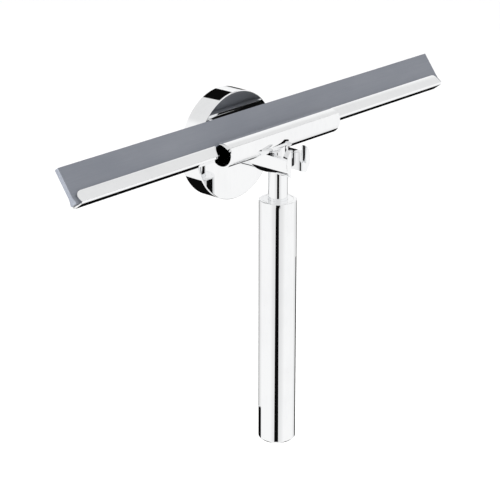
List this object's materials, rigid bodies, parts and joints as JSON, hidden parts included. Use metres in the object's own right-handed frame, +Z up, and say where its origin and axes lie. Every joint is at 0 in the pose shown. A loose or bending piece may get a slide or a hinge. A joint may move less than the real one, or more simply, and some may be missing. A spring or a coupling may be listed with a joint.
{
  "type": "window squeegee",
  "caption": "Chrome window squeegee with a grey rubber blade and round handle, hanging by its stem in the slotted arm of a round wall holder.",
  "frame": {"origin": "centre of the rosette's back face, on the wall", "axes": "-Y out of the wall along the holder's arm, +X along the blade to the right, +Z up"},
  "size_m": [0.255, 0.05, 0.1707],
  "materials": {
    "chrome_trim": "mirror-polished chrome plating on brass",
    "stainless_fastener": "plain stainless steel, fine turned finish",
    "zinc_bracket": "die-cast zinc, matt",
    "brass_block": "machined brass",
    "blade_rubber": "matt grey wiping rubber",
    "seal_rubber": "black nitrile ring",
    "inner_plastic": "natural moulded nylon"
  },
  "bodies": {
    "holder": {"wall_plate": "zinc_bracket", "rosette_cover": "chrome_trim", "rosette_grub_screw": "stainless_fastener", "holder_arm": "chrome_trim", "arm_dowel_pin": "stainless_fastener", "arm_lock_washer": "stainless_fastener", "arm_screw": "stainless_fastener"},
    "head": {"clamp_sleeve": "chrome_trim", "clamp_block": "brass_block", "pressure_pad": "inner_plastic", "saddle_washer": "chrome_trim"},
    "grip": {"stem": "chrome_trim", "stem_stud": "stainless_fastener", "handle_tube": "chrome_trim", "handle_bush": "chrome_trim", "stem_seal": "seal_rubber", "bush_nut": "stainless_fastener", "tie_rod": "stainless_fastener", "rod_spacers": "inner_plastic", "base_plug": "chrome_trim", "base_seal": "seal_rubber"},
    "blade": {"channel_front_wall": "chrome_trim", "channel_back_wall": "chrome_trim", "channel_floor": "chrome_trim"},
    "rubber": {"blade_rubber": "blade_rubber"}
  },
  "joints": [
    {"name": "lift_off", "type": "slide", "parent": "holder", "child": "head", "axis": [0, -0.9135, 0.4067], "range_m": [0, 0.026]},
    {"name": "clamp_turn", "type": "hinge", "parent": "head", "child": "grip", "pos_m": [0, -0.0374, 0], "axis": [0, 0, 1], "range_deg": [-180, 0]},
    {"name": "blade_slide", "type": "slide", "parent": "head", "child": "blade", "axis": [1, 0, 0], "range_m": [-0.165, 0.165]},
    {"name": "rubber_pull", "type": "slide", "parent": "blade", "child": "rubber", "axis": [1, 0, 0], "range_m": [0, 0.258]}
  ]
}
